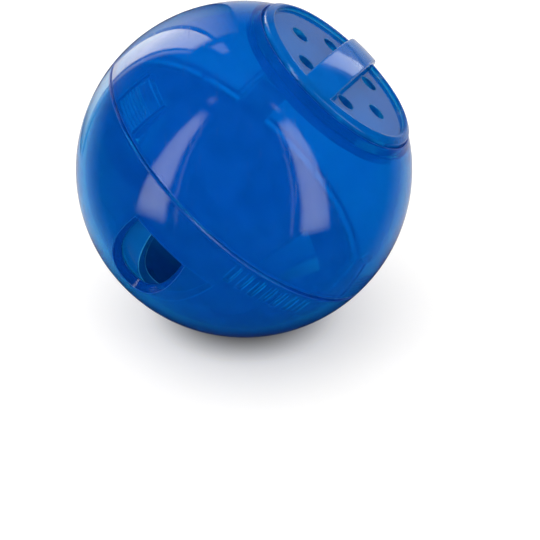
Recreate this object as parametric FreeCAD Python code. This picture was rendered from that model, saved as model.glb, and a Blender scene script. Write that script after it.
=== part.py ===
import FreeCAD, Part
import math
import os

# Treat ball for cats. Two half shells meet at the equator. A shutter bowl nests inside the
# lower one, is snapped to the upper one, and closes the lower one's windows when the halves twist.
# A vented cap with a strap handle plugs the fill port at the pole.
# Lengths are millimetres and angles degrees. Everything is drawn about the ball's centre with
# +Z along the ball's axis, window 1 of the lower shell at azimuth 0, and is placed at the end.

# Lower and upper shell
ball_radius = 40.0
shell_wall = 2.2
seam_gap = 0.2
seam_chamfer = 0.35

# Shutter bowl and the bead that holds it down
shutter_wall = 2.0
turning_gap = 0.3
bead_height = 1.4
bead_depth = 0.9

# Dispensing windows: an outline on the ball's surface, cut towards a point inside the ball
window_count = 3
window_latitude = -30.8
window_half_width = 8.9
window_top = 11.9
window_foot = 11.7
window_side_pull = (9.2, 2.0)
window_foot_pull = 8.0
window_flare_depth = 16.0

# Shutter's own windows, narrower towards the foot so that the opening closes gradually
gate_latitude = -28.5
gate_half_width = 9.8
gate_top = 7.8
gate_foot = 11.8
gate_side_pull = (8.0, 0.6)
gate_foot_pull = 5.6
gate_flare_depth = 19.5
cutter_overrun = 5.0

# Twist: how far the shutter stands from wide open at rest, and how far it has to go to close
twist_at_rest = 10.0
twist_closed = 27.0

# Click rack on the shutter and the nub that rides over it
rack_start = 13.0
rack_teeth = 7
rack_pitch = 5.3
rack_top = 2.4
rack_height = 5.2
rack_depth = 0.8
nub_azimuth = 44.0
nub_width = 1.6
nub_clearance = 0.1
nub_margin = 0.5

# Tongues that carry the shutter in the upper shell
tongue_azimuth = 69.0
tongue_width = 14.0
tongue_top = 9.0
tongue_rib_count = 6
tongue_rib_pitch = 0.95
tongue_rib_height = 0.45
tongue_rib_bite = 0.25
first_rib = 1.2
snap_clearance = 0.1
rail_width = 1.8
rail_depth = 1.6

# Twist stops on the bead, either side of each tongue
stop_width = 2.5
stop_clearance = 0.3

# Fill port: a seat sunk into the shell, and a neck below it
port_radius = 21.0
port_neck_wall = 2.0
port_neck_length = 4.0
seat_ledge = 1.3
seat_sink = 1.2
seat_chamfer = 0.35

# Cap: crowned rim, sunk disc, skirt and strap handle
cap_clearance = 0.2
cap_rise = 0.5
cap_outer_round = 0.6
rim_width = 2.0
rim_inner_round = 0.4
recess_depth = 1.4
disc_wall = 1.8
skirt_clearance = 0.1
skirt_wall = 1.6
skirt_length = 4.4
skirt_lead = 0.6
strap_width = 7.7
strap_wall = 1.7
strap_round = 0.5
strap_azimuth = -9.2
vent_count = 6
vent_radius = 2.3
vent_circle_radius = 12.5

# How the ball lies on the floor: turned about its axis, then tipped from the vertical
spin = -114.3
tip = 40.0


def height_on(radius, across):
    """The other leg of a point on a circle about the ball's centre."""
    return math.sqrt(radius ** 2 - across ** 2)


# Derived radii and heights
inner_radius = ball_radius - shell_wall
gate_radius = inner_radius - turning_gap
chamber_radius = gate_radius - shutter_wall
half_seam = seam_gap / 2
bead_radius = inner_radius - bead_depth
shutter_rim = -bead_height - turning_gap
crown_radius = ball_radius + cap_rise
seat_radius = port_radius + seat_ledge
seat_height = height_on(ball_radius, seat_radius) - seat_sink
cap_radius = seat_radius - cap_clearance
rim_inner_radius = cap_radius - rim_width
skirt_radius = port_radius - skirt_clearance
third = 360 / window_count


def section(steps):
    """A face from (across, height) points in the XZ plane.

    Between two points, a bare number is the radius of an arc about the ball's centre, and a
    point in a list is one that an arc passes through.
    """
    edges = []
    start = FreeCAD.Vector(steps[0][0], 0, steps[0][1])
    bend = None
    for step in steps[1:] + steps[:1]:
        if not isinstance(step, tuple):
            bend = step
            continue
        end = FreeCAD.Vector(step[0], 0, step[1])
        if bend is None:
            edges.append(Part.LineSegment(start, end).toShape())
        elif isinstance(bend, list):
            through = FreeCAD.Vector(bend[0][0], 0, bend[0][1])
            edges.append(Part.Arc(start, through, end).toShape())
        else:
            through = (start + end).normalize() * bend
            edges.append(Part.Arc(start, through, end).toShape())
        start = end
        bend = None
    return Part.Face(Part.Wire(edges))


def turned(steps, sweep=360.0):
    """A section turned about the ball's axis; its points are (radius, height)."""
    return section(steps).revolve(FreeCAD.Vector(0, 0, 0), FreeCAD.Vector(0, 0, 1), sweep)


def at_azimuth(shape, azimuth):
    """The shape turned about the ball's axis."""
    moved = shape.copy()
    moved.rotate(FreeCAD.Vector(0, 0, 0), FreeCAD.Vector(0, 0, 1), azimuth)
    return moved


def in_thirds(shape, azimuth=0.0):
    """The shape repeated round the axis, once for each window."""
    return [at_azimuth(shape, azimuth + third * index) for index in range(window_count)]


def sector(steps, azimuth, width):
    """A turned piece of limited width, centred on an azimuth."""
    return at_azimuth(turned(steps, width), azimuth - width / 2)


def rounded_lip(wall, crown, size, outward):
    """Section steps that round the corner of an upright wall and a crown about the ball's centre.

    They run from the crown to the wall. outward is 1 where the wall faces away from the axis
    and -1 where it faces the axis.
    """
    across = wall - outward * size
    height = height_on(crown - size, across)
    lean = math.atan2(height, across)
    facing = 0 if outward > 0 else math.pi
    middle = (lean + facing) / 2
    on_crown = (crown * math.cos(lean), crown * math.sin(lean))
    through = (across + size * math.cos(middle), height + size * math.sin(middle))
    return [on_crown, [through], (wall, height)]


def mirrored(steps):
    """Section steps on the other side of the axis."""
    flipped = []
    for step in steps:
        if isinstance(step, list):
            flipped.append([(-step[0][0], step[0][1])])
        else:
            flipped.append((-step[0], step[1]))
    return flipped


def flared_window(surface_radius, latitude, half_width, top, foot, side_pull, foot_pull, depth):
    """The cutter for one window at azimuth 0.

    Its outline has a straight top and a round foot. It is full size at the surface and
    shrinks towards a point at the given depth, so the window's walls flare outwards.
    """
    slope = math.radians(latitude)
    outward = FreeCAD.Vector(math.cos(slope), 0, math.sin(slope))
    upward = FreeCAD.Vector(-math.sin(slope), 0, math.cos(slope))
    sideways = FreeCAD.Vector(0, 1, 0)
    apex = outward * (surface_radius - depth)

    def outline(distance):
        scale = distance / depth

        def place(across, up):
            return apex + outward * distance + sideways * (across * scale) + upward * (up * scale)

        edges = [Part.LineSegment(place(-half_width, top), place(half_width, top)).toShape()]
        for side in (1, -1):
            curve = Part.BezierCurve()
            poles = [
                place(side * half_width, top),
                place(side * side_pull[0], side_pull[1]),
                place(side * foot_pull, -foot),
                place(0, -foot),
            ]
            if side < 0:
                poles.reverse()
            curve.setPoles(poles)
            edges.append(curve.toShape())
        return Part.Wire(edges)

    near = outline(depth - 2 * cutter_overrun)
    far = outline(depth + cutter_overrun)
    return Part.makeLoft([near, far], True, True)


def make_outer_bowl():
    """Lower shell: the rim bead, three windows, twist stops and click nubs."""
    edge_height = -half_seam - seam_chamfer
    edge_radius = height_on(ball_radius, edge_height)
    shell = turned([
        (edge_radius, edge_height),
        (edge_radius - seam_chamfer, -half_seam),
        (bead_radius, -half_seam),
        (bead_radius, -bead_height),
        (height_on(inner_radius, bead_height), -bead_height),
        inner_radius,
        (0, -inner_radius),
        (0, -ball_radius),
        ball_radius,
    ])
    cutter = flared_window(ball_radius, window_latitude, window_half_width, window_top,
                           window_foot, window_side_pull, window_foot_pull, window_flare_depth)
    shell = shell.cut(in_thirds(cutter))

    nub_top = -rack_top - nub_margin
    nub_foot = -rack_top - rack_height + nub_margin
    nub_radius = gate_radius + nub_clearance
    nub_root = inner_radius + shell_wall / 2
    nub = sector([
        (height_on(nub_root, nub_top), nub_top),
        (height_on(nub_radius, nub_top), nub_top),
        nub_radius,
        (height_on(nub_radius, nub_foot), nub_foot),
        (height_on(nub_root, nub_foot), nub_foot),
        nub_root,
    ], nub_azimuth, nub_width)

    stop_radius = height_on(chamber_radius, shutter_rim)
    stop_root = bead_radius + bead_depth / 2
    stop_steps = [
        (stop_root, -half_seam),
        (stop_radius, -half_seam),
        (stop_radius, -bead_height),
        (stop_root, -bead_height),
    ]
    reach = tongue_width / 2 + stop_clearance + stop_width / 2
    low_stop = sector(stop_steps, tongue_azimuth - reach, stop_width)
    high_stop = sector(stop_steps, tongue_azimuth + twist_closed + reach, stop_width)
    return shell.fuse(in_thirds(nub) + in_thirds(low_stop) + in_thirds(high_stop))


def tongue_rib_heights():
    """Mid heights of the snap ribs on a tongue."""
    return [first_rib + tongue_rib_pitch * index for index in range(tongue_rib_count)]


def rib_section(middle, height, outer, inner):
    """A rib's or groove's section: a band between two radii about the ball's centre."""
    low = middle - height / 2
    high = middle + height / 2
    return [
        (height_on(inner, low), low),
        (height_on(outer, low), low),
        (height_on(outer, high), high),
        (height_on(inner, high), high),
    ]


def make_shutter_bowl():
    """Inner bowl: narrower windows, click racks, and three tongues that rise past the seam."""
    bowl = turned([
        (height_on(gate_radius, shutter_rim), shutter_rim),
        (height_on(chamber_radius, shutter_rim), shutter_rim),
        chamber_radius,
        (0, -chamber_radius),
        (0, -gate_radius),
        gate_radius,
    ])
    tongue_foot = shutter_rim - shutter_wall / 2
    step_height = turning_gap
    neck_radius = bead_radius - turning_gap
    tongue = sector([
        (neck_radius, tongue_foot),
        (neck_radius, step_height),
        (height_on(gate_radius, step_height), step_height),
        gate_radius,
        (height_on(gate_radius, tongue_top), tongue_top),
        (height_on(chamber_radius, tongue_top), tongue_top),
        chamber_radius,
        (height_on(chamber_radius, tongue_foot), tongue_foot),
    ], tongue_azimuth, tongue_width)
    rib_outer = inner_radius + tongue_rib_bite
    ribs = [
        sector(rib_section(middle, tongue_rib_height, rib_outer, gate_radius - shutter_wall / 2),
               tongue_azimuth, tongue_width)
        for middle in tongue_rib_heights()
    ]
    tongue = tongue.fuse(ribs)
    bowl = bowl.fuse(in_thirds(tongue))

    cutter = flared_window(gate_radius, gate_latitude, gate_half_width, gate_top,
                           gate_foot, gate_side_pull, gate_foot_pull, gate_flare_depth)
    rack_foot = -rack_top - rack_height
    floor_radius = gate_radius - rack_depth
    groove = [
        (height_on(floor_radius, rack_top), -rack_top),
        (gate_radius + turning_gap, -rack_top),
        (gate_radius + turning_gap, rack_foot),
        (height_on(floor_radius, rack_foot), rack_foot),
        floor_radius,
    ]
    grooves = []
    for index in range(rack_teeth):
        middle = rack_start + rack_pitch * (index + 0.5)
        grooves += in_thirds(sector(groove, middle, rack_pitch / 2))
    bowl = bowl.cut(in_thirds(cutter) + grooves)
    return at_azimuth(bowl, twist_at_rest)


def make_fill_shell():
    """Upper shell: the fill port with its neck, and a socket for each tongue."""
    edge_height = half_seam + seam_chamfer
    edge_radius = height_on(ball_radius, edge_height)
    neck_radius = port_radius + port_neck_wall
    chamfer_radius = seat_radius + seat_chamfer
    seat_edge = height_on(ball_radius, chamfer_radius)
    shell = turned([
        (edge_radius, edge_height),
        (edge_radius - seam_chamfer, half_seam),
        (height_on(inner_radius, half_seam), half_seam),
        inner_radius,
        (neck_radius, height_on(inner_radius, neck_radius)),
        (neck_radius, seat_height - port_neck_length),
        (port_radius, seat_height - port_neck_length),
        (port_radius, seat_height),
        (seat_radius, seat_height),
        (seat_radius, seat_edge - seat_chamfer),
        (chamfer_radius, seat_edge),
        ball_radius,
    ])
    rail_root = inner_radius + shell_wall / 2
    rail_inner = inner_radius - rail_depth
    rail_top = tongue_top + rail_width / 2
    rail = [
        (height_on(rail_root, half_seam), half_seam),
        rail_root,
        (height_on(rail_root, rail_top), rail_top),
        (height_on(rail_inner, rail_top), rail_top),
        rail_inner,
        (height_on(rail_inner, half_seam), half_seam),
    ]
    reach = (tongue_width + rail_width) / 2 + math.degrees(snap_clearance / inner_radius)
    rails = []
    for side in (-1, 1):
        rails += in_thirds(sector(rail, tongue_azimuth + side * reach, rail_width))
    shell = shell.fuse(rails)
    groove_height = tongue_rib_height + 2 * snap_clearance
    groove_radius = inner_radius + tongue_rib_bite + snap_clearance
    groove_width = tongue_width + 2 * math.degrees(snap_clearance / inner_radius)
    grooves = []
    for middle in tongue_rib_heights():
        steps = rib_section(middle, groove_height, groove_radius, gate_radius)
        grooves += in_thirds(sector(steps, tongue_azimuth, groove_width))
    return at_azimuth(shell.cut(grooves), twist_at_rest)


def make_fill_cap():
    """Cap: crowned rim ring, sunk disc with vents, plug skirt and strap handle."""
    crown_inner = height_on(crown_radius, rim_inner_radius)
    disc_top = crown_inner - recess_depth
    skirt_inner = skirt_radius - skirt_wall
    skirt_end = seat_height - skirt_length
    outer_lip = rounded_lip(cap_radius, crown_radius, cap_outer_round, 1)
    inner_lip = rounded_lip(rim_inner_radius, crown_radius, rim_inner_round, -1)
    cap = turned([
        (0, disc_top - disc_wall),
        (skirt_inner, disc_top - disc_wall),
        (skirt_inner, skirt_end),
        (skirt_radius - skirt_lead, skirt_end),
        (skirt_radius, skirt_end + skirt_lead),
        (skirt_radius, seat_height),
        (cap_radius, seat_height),
        *reversed(outer_lip),
        crown_radius,
        *inner_lip,
        (rim_inner_radius, disc_top),
        (0, disc_top),
    ])
    vents = []
    for index in range(vent_count):
        angle = math.radians(360 / vent_count * (index + 0.5))
        centre = FreeCAD.Vector(math.cos(angle), math.sin(angle), 0) * vent_circle_radius
        centre.z = disc_top - 2 * disc_wall
        vents.append(Part.makeCylinder(vent_radius, 3 * disc_wall, centre))
    cap = cap.cut(vents).fuse(make_strap(disc_top)).removeSplitter()
    return at_azimuth(cap, strap_azimuth + twist_at_rest)


def make_strap(disc_top):
    """Strap handle: a bent bar over the recess, its outer face flush with the cap's crown."""
    half_width = strap_width / 2
    underside = crown_radius - strap_wall
    lip = rounded_lip(half_width, crown_radius, strap_round, 1)
    bar = section([
        (half_width, underside),
        *reversed(lip),
        crown_radius,
        *mirrored(lip),
        (-half_width, underside),
    ])
    arch = bar.revolve(FreeCAD.Vector(0, 0, 0), FreeCAD.Vector(1, 0, 0), 360)
    foot = disc_top - disc_wall / 2
    reach = rim_inner_radius + rim_width / 2
    plug = Part.makeCylinder(reach, crown_radius, FreeCAD.Vector(0, 0, foot))
    return at_azimuth(arch.common(plug), 90)


def place(shape):
    """Spin and tip the ball, and stand it on the floor with its contact at the origin."""
    placed = at_azimuth(shape, spin)
    placed.rotate(FreeCAD.Vector(0, 0, 0), FreeCAD.Vector(0, 1, 0), tip)
    placed.translate(FreeCAD.Vector(0, 0, ball_radius))
    return placed


os.makedirs("parts", exist_ok=True)
nodes = {
    "outer_bowl": make_outer_bowl(),
    "shutter_bowl": make_shutter_bowl(),
    "fill_shell": make_fill_shell(),
    "fill_cap": make_fill_cap(),
}
for name, shape in nodes.items():
    solid = place(shape)
    if len(solid.Solids) == 1:
        solid = solid.Solids[0]
    print(name, solid.ShapeType, len(solid.Faces), "faces", round(solid.Volume), "mm3", solid.isValid())
    solid.exportStep(os.path.join("parts", name + ".step"))
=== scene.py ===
import math

import bpy
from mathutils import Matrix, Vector

# Lengths are metres and angles degrees. The ball rests on the floor at the origin.
BALL_RADIUS = 0.040
BALL_CENTRE = Vector((0, 0, BALL_RADIUS))
TWIST_LEAN = math.radians(40)
TWIST_AXIS = (math.sin(TWIST_LEAN), 0.0, math.cos(TWIST_LEAN))

# The photograph's view: the ball's centre, the lens and how far the camera looks down
FRAME_PIXELS = 540
BALL_PIXEL = (244.3, 170.1)
FOCAL_PIXELS = 1671.6
SENSOR_MM = 36.0
CLIP_START = 0.01
CAMERA_DISTANCE = 0.400
CAMERA_ELEVATION = math.radians(30.3)
VIEW_DIRECTION = Vector((0, math.cos(CAMERA_ELEVATION), -math.sin(CAMERA_ELEVATION)))

# Blue plastic: what it lets through, what its dye scatters, and how it bends light
PASSED_COLOUR = (0.01, 0.50, 0.91)
SHELL_DYE = (0.0, 0.13, 0.70)
SHUTTER_DYE = (0.0, 0.13, 0.50)
CAP_DYE = (0.0, 0.18, 0.69)
BODY_IOR = 1.45

# Patches in which the dye is a little deeper, cloudier or rougher
MOTTLE_SCALE = 210.0
MOTTLE_DETAIL = 3.0
MOTTLE_SPAN = (0.3, 0.7)
DYE_UNEVENNESS = 0.08
CLOUD_UNEVENNESS = 0.03
ROUGHNESS_SPREAD = 0.04
SEAM_BLEND = (-0.001, 0.001)

# Moulded surface: slow waves, fine grain and hairline scratches
WAVE_SCALE = 55.0
WAVE_HEIGHT = 0.00009
GRAIN_SCALE = 2600.0
GRAIN_HEIGHT = 0.0000004
SCRATCH_SCALE = (2600.0, 90.0, 240.0)
SCRATCH_TURN = (0.5, 0.9, 0.3)
SCRATCH_SPAN = (0.70, 0.78)
SCRATCH_DEPTH = 0.000002
SCRATCH_ROUGHNESS = 0.12

# Edges: rounded, duller and cloudier than the rest, and in an edge colour: a painted highlight
# on the shutter and cap, a darker tone on the shell. EDGE_BEND is how square they are to their
# rounded form where that edge colour starts and where it is full.
EDGE_ROUND = 0.00045
EDGE_SAMPLES = 4
EDGE_BEND = (0.995, 0.85)
EDGE_PATCHINESS = 0.6
EDGE_CLOUD = 0.5
EDGE_DULLNESS = 0.10
# The first two are painted highlights along edges, the last a darker tone for the shell's edges
PAINTED_EDGE_HIGHLIGHT = (0.20, 0.80, 1.0)
SHUTTER_PAINTED_HIGHLIGHT = (0.03, 0.45, 0.85)
DEEP_EDGE = (0.0, 0.05, 0.50)

# Heights over the seam between which the shutter's edges get a painted glow: its click rack
# and its tongues
RACK_FOOT = (-0.0072, -0.0066)
RACK_TOP = (-0.0032, -0.0028)
TONGUE_FOOT = (0.0, 0.0005)
FAINT_PAINTED_GLOW = 0.10

# Floor: its white, its glow and a painted shadow of the ball, by the distance from the point of
# contact
FLOOR_HALF = 0.6
FLOOR_WHITE = (0.80, 0.785, 0.75)
FLOOR_GLOW = 0.30
CONTACT_SHADE = 0.08
CONTACT_REACH = (0.009, 0.026)
# A wider painted shadow, which only what is seen through the clear plastic shows
UNDERSIDE_REACH = (0.010, 0.055)

# The floor as the ball mirrors it: a painted glint at the contact, a painted dark ring of shade,
# and nothing farther out
PAINTED_CONTACT_GLINT = (0.10, 0.11, 0.12)
MIRRORED_PAINTED_SHADE = (0.015, 0.015, 0.015)
MIRROR_SHADOW = (0.035, 0.07)

# Light from all round. Its first value is on the side away from the key light.
KEY_DIRECTION = (-0.55, 0.15, 0.82)
AMBIENT = (0.15, 1.7)

# The backdrop as the ball mirrors it, dimmed below the horizon
BACKDROP_GLOW = 0.85
BACKDROP_EDGE = 0.36
BACKDROP_FOOT = (-0.85, -0.45)
BACKDROP_FOOT_SHARE = 0.25

# What clear plastic passes, from the camera's side to beyond the ball
PASSED_SPAN = (-1.0, 0.2)
PASSED_GLOW = (1.2, 0.85)

# Softboxes round the ball. Azimuth 0 is the camera's side and 90 the right. A profile is a list
# of places across the box, from its start at 0 to its end at 1, each with its brightness.
PANEL_DISTANCE = 0.8
PANEL_ROWS = 16
DARKEST_GLOW = 0.002
NEUTRAL_TINT = (1.0, 1.0, 1.0)
WARM_TINT = (1.0, 0.93, 0.70)
SOFT_STRIP = [(-0.08, 0.0), (0.06, 0.75), (0.5, 1.0), (0.9, 0.85), (1.06, 0.0)]
LINED_STRIP = SOFT_STRIP + [(1.24, 0.0), (1.31, 0.3), (1.38, 0.0)]
FRAMED_BOX = [(-1.2, 0.0), (-0.19, 0.30), (-0.17, 0.0), (0.0, 0.0), (0.01, 1.0), (0.99, 1.0),
              (1.0, 0.0), (1.14, 0.0), (1.15, 0.42), (1.4, 0.0)]
HALOED_BOX = [(-0.4, 0.0), (-0.05, 0.15), (0.03, 1.0), (0.95, 1.0), (1.02, 0.20), (1.6, 0.14),
              (2.4, 0.0)]


def pixel_direction(pixel):
    """A pixel's viewing direction in the camera's own axes."""
    half = FRAME_PIXELS / 2
    return Vector((pixel[0] - half, half - pixel[1], -FOCAL_PIXELS)).normalized()


def add_camera():
    """A camera as high as the photograph's, turned until the ball's centre falls on its pixel."""
    data = bpy.data.cameras.new("camera")
    data.sensor_width = SENSOR_MM
    data.lens = FOCAL_PIXELS / FRAME_PIXELS * SENSOR_MM
    data.clip_start = CLIP_START
    camera = bpy.data.objects.new("camera", data)
    camera.location = BALL_CENTRE - CAMERA_DISTANCE * VIEW_DIRECTION
    aimed = VIEW_DIRECTION.to_track_quat("-Z", "Y")
    turn = pixel_direction(BALL_PIXEL).rotation_difference(Vector((0, 0, -1)))
    camera.rotation_euler = (aimed @ turn).to_euler()
    bpy.context.scene.collection.objects.link(camera)
    bpy.context.scene.camera = camera


class Wiring:
    """A node tree with short calls for the nodes that the materials share."""

    def __init__(self, tree):
        tree.nodes.clear()
        self.nodes = tree.nodes
        self.links = tree.links

    def node(self, kind, **inputs):
        """A node, with its inputs given by name as numbers, tuples or another node's output."""
        made = self.nodes.new("ShaderNode" + kind)
        for name, given in inputs.items():
            self.feed(made.inputs[name.replace("_", " ")], given)
        return made

    def feed(self, socket, given):
        if isinstance(given, bpy.types.NodeSocket):
            self.links.new(given, socket)
        else:
            socket.default_value = given

    def maths(self, operation, first, second):
        made = self.nodes.new("ShaderNodeMath")
        made.operation = operation
        self.feed(made.inputs[0], first)
        self.feed(made.inputs[1], second)
        return made.outputs[0]

    def vector_maths(self, operation, first, second=None, output="Vector"):
        made = self.nodes.new("ShaderNodeVectorMath")
        made.operation = operation
        self.feed(made.inputs[0], first)
        if second is not None:
            self.feed(made.inputs[1], second)
        return made.outputs[output]

    def along(self, place, direction):
        """How far a place lies along a direction."""
        return self.vector_maths("DOT_PRODUCT", place, tuple(direction), "Value")

    def ramp(self, given, low, high, bottom=0.0, top=1.0):
        """bottom at low, top at high, smooth between."""
        made = self.nodes.new("ShaderNodeMapRange")
        made.interpolation_type = "SMOOTHSTEP"
        for name, value in zip(("Value", "From Min", "From Max", "To Min", "To Max"),
                               (given, low, high, bottom, top)):
            self.feed(made.inputs[name], value)
        return made.outputs[0]

    def noise(self, place, scale, detail=2.0):
        made = self.node("TexNoise", Vector=place, Scale=scale, Detail=detail)
        return made.outputs[0]

    def mix_colour(self, share, first, second):
        made = self.nodes.new("ShaderNodeMix")
        made.data_type = "RGBA"
        self.feed(made.inputs["Factor"], share)
        for name, given in (("A", first), ("B", second)):
            socket = [s for s in made.inputs if s.name == name and s.type == "RGBA"][0]
            self.feed(socket, given if isinstance(given, bpy.types.NodeSocket) else (*given, 1))
        return [s for s in made.outputs if s.type == "RGBA"][0]

    def blend(self, share, first, second):
        """A mix of two shaders."""
        made = self.nodes.new("ShaderNodeMixShader")
        for socket, given in zip(made.inputs, (share, first, second)):
            self.feed(socket, given)
        return made.outputs[0]

    def finish(self, shader, kind="OutputMaterial"):
        self.links.new(shader, self.node(kind).inputs["Surface"])


def new_material(name):
    material = bpy.data.materials.new(name)
    material.use_nodes = True
    return material, Wiring(material.node_tree)


def painted_edge_glow_colour(wiring, above_seam, edge_tone_and_highlight):
    """The colour of the painted glow on the shutter's edges: its rack's and its tongues' more than
    others.
    """
    rack = wiring.maths("MULTIPLY", wiring.ramp(above_seam, *RACK_FOOT, FAINT_PAINTED_GLOW, 1.0),
                        wiring.ramp(above_seam, *RACK_TOP, 1.0, 0.0))
    share = wiring.maths("MAXIMUM", rack, wiring.ramp(above_seam, *TONGUE_FOOT))
    return wiring.mix_colour(wiring.maths("MULTIPLY", edge_tone_and_highlight, share), (0.0, 0.0, 0.0), PAINTED_EDGE_HIGHLIGHT)


def moulded_plastic(name, seed, dye_colour, edge_colour, cloudiness, smooth, edge_share,
                    clearer_below=0.0, painted_edge_glow_strength=0.0, edge_dullness=EDGE_DULLNESS):
    """Cloudy blue plastic: part of the light passes it, tinted, and part is scattered by its dye.

    Its dye is a little uneven, its skin has slow waves, grain and hairline scratches, and its
    edges are rounded, duller and cloudier, in an edge colour that is a painted highlight on the
    shutter and cap and a darker tone on the shell. Below the seam it may be clearer. The edge glow
    strength gives the edges a painted glow, emission in place of the light that a clear moulding
    carries to its inner edges.
    """
    material, wiring = new_material(name)
    place = wiring.node("TexCoord").outputs["Object"]
    above_seam = wiring.along(wiring.vector_maths("SUBTRACT", place, tuple(BALL_CENTRE)), TWIST_AXIS)
    place = wiring.vector_maths("ADD", place, (seed, 0.0, 0.0))
    waves = wiring.noise(place, WAVE_SCALE, 1.0)
    mottle = wiring.noise(place, MOTTLE_SCALE, MOTTLE_DETAIL)
    grain = wiring.noise(place, GRAIN_SCALE)
    streaks = wiring.node("Mapping", Vector=place, Rotation=SCRATCH_TURN, Scale=SCRATCH_SCALE)
    scratch = wiring.ramp(wiring.noise(streaks.outputs[0], 1.0, 0.0), *SCRATCH_SPAN)

    rounded = wiring.node("Bevel", Radius=EDGE_ROUND)
    rounded.samples = EDGE_SAMPLES
    flat = wiring.node("NewGeometry").outputs["Normal"]
    facing = wiring.vector_maths("DOT_PRODUCT", rounded.outputs[0], flat, "Value")
    edge = wiring.ramp(facing, *EDGE_BEND)
    patchy = wiring.ramp(mottle, *MOTTLE_SPAN, edge_share * EDGE_PATCHINESS, edge_share)
    # Where edges take the edge colour, patchy: a painted highlight on the shutter and cap, a darker
    # tone on the shell
    edge_tone_and_highlight = wiring.maths("MULTIPLY", edge, patchy)

    height = wiring.maths("MULTIPLY", waves, WAVE_HEIGHT / GRAIN_HEIGHT)
    height = wiring.maths("ADD", height, grain)
    height = wiring.maths("SUBTRACT", height,
                          wiring.maths("MULTIPLY", scratch, SCRATCH_DEPTH / GRAIN_HEIGHT))
    bump = wiring.node("Bump", Height=height, Distance=GRAIN_HEIGHT, Normal=rounded.outputs[0])

    dull = wiring.maths("MAXIMUM", wiring.maths("MULTIPLY", scratch, SCRATCH_ROUGHNESS),
                        wiring.maths("MULTIPLY", edge, edge_dullness))
    roughness = wiring.ramp(mottle, *MOTTLE_SPAN, smooth, smooth + ROUGHNESS_SPREAD)
    roughness = wiring.maths("ADD", roughness, dull)

    cloud = wiring.ramp(above_seam, *SEAM_BLEND, cloudiness - clearer_below, cloudiness)
    uneven = wiring.ramp(mottle, *MOTTLE_SPAN, -CLOUD_UNEVENNESS, CLOUD_UNEVENNESS)
    cloud = wiring.maths("ADD", wiring.maths("ADD", uneven, cloud),
                         wiring.maths("MULTIPLY", edge_tone_and_highlight, EDGE_CLOUD))
    deeper = tuple(part * (1 - DYE_UNEVENNESS) for part in dye_colour)
    lighter = tuple(part * (1 + DYE_UNEVENNESS) for part in dye_colour)
    dye = wiring.mix_colour(mottle, deeper, lighter)
    # At the edges the dye turns to the edge colour, a painted highlight on the shutter and cap
    dye = wiring.mix_colour(edge_tone_and_highlight, dye, edge_colour)

    clear = wiring.node("BsdfPrincipled", Base_Color=(*PASSED_COLOUR, 1), IOR=BODY_IOR,
                        Transmission_Weight=1.0, Roughness=roughness, Normal=bump.outputs[0])
    dyed = wiring.node("BsdfPrincipled", Base_Color=dye, IOR=BODY_IOR, Roughness=roughness,
                       Normal=bump.outputs[0], Emission_Color=(0, 0, 0, 1),
                       Emission_Strength=painted_edge_glow_strength)
    # Painted glow: the shutter's edges give off light, though they are no lamp
    if painted_edge_glow_strength:
        wiring.feed(dyed.inputs["Emission Color"], painted_edge_glow_colour(wiring, above_seam, edge_tone_and_highlight))
    wiring.finish(wiring.blend(cloud, clear.outputs[0], dyed.outputs[0]))
    return material


def floor_material():
    """White floor. The camera and clear plastic see it bright, with a painted shadow of the ball."""
    material, wiring = new_material("floor_white")
    path = wiring.node("LightPath").outputs
    place = wiring.node("NewGeometry").outputs["Position"]
    away = wiring.vector_maths("LENGTH", place, output="Value")
    plain = wiring.node("BsdfDiffuse", Color=(*FLOOR_WHITE, 1))

    # Painted shadow: the floor darkens towards the point of contact, more widely where seen through
    # the ball
    underside = wiring.maths("MAXIMUM", wiring.ramp(away, *UNDERSIDE_REACH), path["Is Camera Ray"])
    outside_painted_shadow = wiring.maths("MINIMUM", wiring.ramp(away, *CONTACT_REACH, CONTACT_SHADE, 1.0),
                              underside)
    contact = tuple(part * CONTACT_SHADE for part in FLOOR_WHITE)
    shaded = wiring.node("BsdfDiffuse", Color=wiring.mix_colour(outside_painted_shadow, contact, FLOOR_WHITE))
    glow = wiring.node("Emission", Strength=wiring.maths("MULTIPLY", outside_painted_shadow, FLOOR_GLOW))
    lit = wiring.node("AddShader")
    wiring.feed(lit.inputs[0], shaded.outputs[0])
    wiring.feed(lit.inputs[1], glow.outputs[0])

    # What the ball mirrors near its contact: a painted glint, then a painted dark ring of shade,
    # then clear
    glint = wiring.mix_colour(wiring.ramp(away, *CONTACT_REACH), PAINTED_CONTACT_GLINT, MIRRORED_PAINTED_SHADE)
    dark = wiring.node("BsdfDiffuse", Color=glint)
    clear = wiring.node("BsdfTransparent")
    mirrored = wiring.blend(wiring.ramp(away, *MIRROR_SHADOW), dark.outputs[0], clear.outputs[0])
    unseen = wiring.blend(path["Is Glossy Ray"], plain.outputs[0], mirrored)
    seen = wiring.maths("MAXIMUM", path["Is Camera Ray"], path["Is Transmission Ray"])
    wiring.finish(wiring.blend(seen, unseen, lit.outputs[0]))
    return material


def add_floor():
    mesh = bpy.data.meshes.new("floor")
    half = FLOOR_HALF
    corners = [(-half, -half, 0), (half, -half, 0), (half, half, 0), (-half, half, 0)]
    mesh.from_pydata(corners, [], [(0, 1, 2, 3)])
    mesh.materials.append(floor_material())
    floor = bpy.data.objects.new("floor", mesh)
    bpy.context.scene.collection.objects.link(floor)


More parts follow.
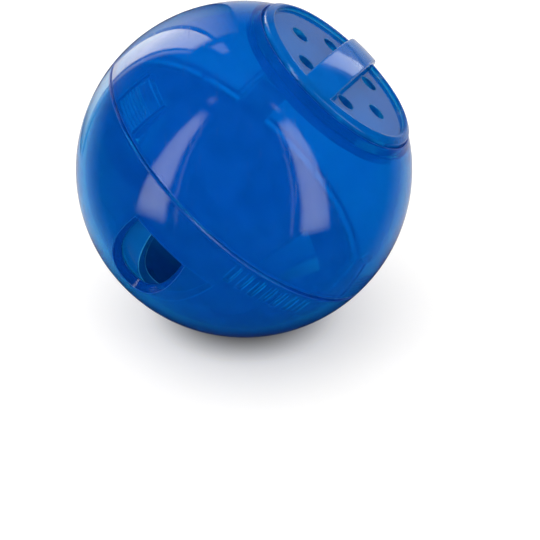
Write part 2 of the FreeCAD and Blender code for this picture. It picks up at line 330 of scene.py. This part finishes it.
def add_world():
    """White all round for the camera, a lit backdrop behind the ball, and a dim front."""
    world = bpy.data.worlds.new("studio")
    bpy.context.scene.world = world
    world.cycles.sampling_method = "NONE"
    world.use_nodes = True
    wiring = Wiring(world.node_tree)
    path = wiring.node("LightPath").outputs
    place = wiring.node("TexCoord").outputs["Generated"]
    beyond = wiring.along(place, VIEW_DIRECTION)
    height = wiring.along(place, (0, 0, 1))
    keyward = wiring.along(place, KEY_DIRECTION)

    white = wiring.node("Background", Color=(1, 1, 1, 1), Strength=1.0)
    ambient = wiring.node("Background", Strength=wiring.ramp(keyward, -1.0, 1.0, *AMBIENT))
    backdrop = wiring.maths("MULTIPLY", wiring.ramp(beyond, BACKDROP_EDGE, 1.0, 0.0, BACKDROP_GLOW),
                            wiring.ramp(height, *BACKDROP_FOOT, BACKDROP_FOOT_SHARE, 1.0))
    mirrored = wiring.node("Background", Strength=backdrop)
    passed = wiring.node("Background", Strength=wiring.ramp(beyond, *PASSED_SPAN, *PASSED_GLOW))
    shader = wiring.blend(path["Is Glossy Ray"], ambient.outputs[0], mirrored.outputs[0])
    shader = wiring.blend(path["Is Transmission Ray"], shader, passed.outputs[0])
    shader = wiring.blend(path["Is Camera Ray"], shader, white.outputs[0])
    wiring.finish(shader, "OutputWorld")


def panel_material(name, radiance, tint):
    """Light that plastic mirrors but isn't seen through it, bright where the mesh's glow is."""
    material, wiring = new_material(name)
    path = wiring.node("LightPath").outputs
    glow = wiring.nodes.new("ShaderNodeAttribute")
    glow.attribute_name = "glow"
    strength = wiring.maths("MULTIPLY", glow.outputs["Fac"], radiance)
    light = wiring.node("Emission", Color=(*tint, 1), Strength=strength)
    clear = wiring.node("BsdfTransparent")
    gap = wiring.maths("LESS_THAN", glow.outputs["Fac"], DARKEST_GLOW)
    hidden = wiring.maths("MAXIMUM", path["Is Transmission Ray"], gap)
    wiring.finish(wiring.blend(hidden, light.outputs[0], clear.outputs[0]))
    return material


def add_panel(name, low, high, profile, radiance, fade, lights_dye=False, tint=NEUTRAL_TINT):
    """A softbox that faces the ball, between two level edges.

    low and high are (elevation, azimuth where the profile is 0, azimuth where it is 1), and the
    profile gives the brightness across it. fade is the share of its height over which each end
    fades, the lower one first. With lights_dye it also lights what the dye scatters.
    """
    points = []
    glows = []
    for row in range(PANEL_ROWS + 1):
        share = row / PANEL_ROWS
        elevation, start, end = (a + (b - a) * share for a, b in zip(low, high))
        ends = min(1.0, share / fade[0], (1 - share) / fade[1])
        for across, brightness in profile:
            azimuth = math.radians(start + (end - start) * across)
            lean = math.radians(elevation)
            towards = Vector((math.sin(azimuth) * math.cos(lean),
                              -math.cos(azimuth) * math.cos(lean), math.sin(lean)))
            points.append(BALL_CENTRE + PANEL_DISTANCE * towards)
            glows.append(brightness * ends)
    columns = len(profile)
    faces = []
    for row in range(PANEL_ROWS):
        for column in range(columns - 1):
            corner = row * columns + column
            faces.append((corner, corner + 1, corner + columns + 1, corner + columns))
    mesh = bpy.data.meshes.new(name)
    mesh.from_pydata(points, [], faces)
    mesh.attributes.new("glow", "FLOAT", "POINT").data.foreach_set("value", glows)
    mesh.materials.append(panel_material(name, radiance, tint))
    panel = bpy.data.objects.new(name, mesh)
    panel.visible_camera = False
    panel.visible_shadow = False
    panel.visible_diffuse = lights_dye
    bpy.context.scene.collection.objects.link(panel)


def add_softboxes():
    """The strips left and right of the camera, the boxes behind the ball, and three small spots."""
    add_panel("softbox_left", low=(-14, -71, -50), high=(61, -57, -47), profile=LINED_STRIP,
              radiance=4.0, fade=(0.1, 0.1), lights_dye=True)
    add_panel("softbox_right", low=(-18, 54, 35), high=(57, 53, 39), profile=LINED_STRIP,
              radiance=4.0, fade=(0.08, 0.08), lights_dye=True)
    add_panel("softbox_behind_left", low=(-22, -158, -142), high=(51, -159, -144),
              profile=FRAMED_BOX, radiance=4.2, fade=(0.5, 0.04), tint=WARM_TINT)
    add_panel("softbox_behind_right", low=(6, 129, 143), high=(44, 129, 143),
              profile=HALOED_BOX, radiance=3.2, fade=(0.1, 0.1))
    add_panel("spot_behind", low=(54, -163, -152), high=(66, -163, -154), profile=SOFT_STRIP,
              radiance=1.6, fade=(0.2, 0.2))
    add_panel("spot_left", low=(64, -64, -52), high=(71, -64, -52), profile=SOFT_STRIP,
              radiance=1.2, fade=(0.4, 0.4))
    add_panel("spot_right", low=(60, 47, 53), high=(69, 45, 51), profile=SOFT_STRIP,
              radiance=1.6, fade=(0.4, 0.4))


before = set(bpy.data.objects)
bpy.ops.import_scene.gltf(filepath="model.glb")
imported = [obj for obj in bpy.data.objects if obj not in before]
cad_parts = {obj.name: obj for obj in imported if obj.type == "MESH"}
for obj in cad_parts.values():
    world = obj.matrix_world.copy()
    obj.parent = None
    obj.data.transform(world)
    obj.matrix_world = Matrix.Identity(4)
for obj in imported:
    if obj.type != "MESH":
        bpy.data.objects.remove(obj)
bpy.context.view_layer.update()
bpy.context.scene.view_settings.view_transform = "Standard"
add_camera()
add_floor()
add_world()
add_softboxes()

# Edge colours: a darker tone on the shell's edges, a painted highlight on the cap's, and a painted
# highlight and painted glow on the shutter's
shell_plastic = moulded_plastic(
    "shell_plastic", seed=1.0, dye_colour=SHELL_DYE, edge_colour=DEEP_EDGE,
    cloudiness=0.34, smooth=0.04, edge_share=0.95, clearer_below=0.10, edge_dullness=0.35)
shutter_plastic = moulded_plastic(
    "shutter_plastic", seed=2.0, dye_colour=SHUTTER_DYE, edge_colour=SHUTTER_PAINTED_HIGHLIGHT,
    cloudiness=0.60, smooth=0.08, edge_share=1.0, painted_edge_glow_strength=1.0)
cap_plastic = moulded_plastic(
    "cap_plastic", seed=3.0, dye_colour=CAP_DYE, edge_colour=PAINTED_EDGE_HIGHLIGHT,
    cloudiness=0.5, smooth=0.07, edge_share=0.4)
FINISH = {
    "outer_bowl": shell_plastic,
    "fill_shell": shell_plastic,
    "shutter_bowl": shutter_plastic,
    "fill_cap": cap_plastic,
}
for name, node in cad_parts.items():
    node.data.materials.clear()
    node.data.materials.append(FINISH[name])
